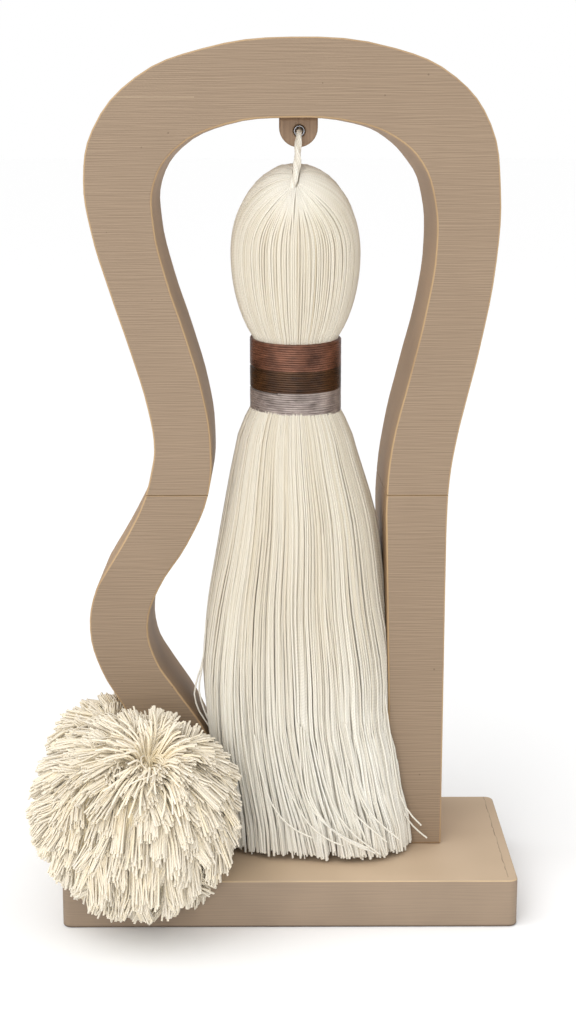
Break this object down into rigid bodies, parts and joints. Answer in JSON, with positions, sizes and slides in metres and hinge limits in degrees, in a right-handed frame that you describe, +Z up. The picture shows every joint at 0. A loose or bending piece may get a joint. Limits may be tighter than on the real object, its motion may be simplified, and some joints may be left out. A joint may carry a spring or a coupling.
{
  "type": "tassel and pompom on an arched wooden stand",
  "caption": "Cream cotton tassel with a wound neck hanging from a free-standing wooden arch, with a cream yarn pompom round the foot of one leg.",
  "frame": {"origin": "centre of the base board's underside", "axes": "+Z up along the height, -Y to the front, +X to the right seen from the front"},
  "size_m": [0.2473, 0.1663, 0.4364],
  "materials": {
    "stand_wood": "greige stained wood with fine horizontal grain, matt lacquer",
    "eyelet_steel": "polished steel",
    "cotton_yarn": "undyed twisted cotton yarn, matt",
    "thread_copper": "silky thread, copper brown",
    "thread_brown": "silky thread, dark brown",
    "thread_mauve": "silky thread, mauve grey"
  },
  "bodies": {
    "root": {"base_board": "stand_wood", "arch_bow": "stand_wood", "left_leg": "stand_wood", "right_leg": "stand_wood", "hanger_tab": "stand_wood", "eyelet": "eyelet_steel", "hanging_cord": "cotton_yarn", "cord_knot": "cotton_yarn", "tassel": "cotton_yarn", "wrap_copper": "thread_copper", "wrap_brown": "thread_brown", "wrap_mauve": "thread_mauve", "pompom": "cotton_yarn", "pompom_tie": "cotton_yarn"}
  },
  "joints": []
}
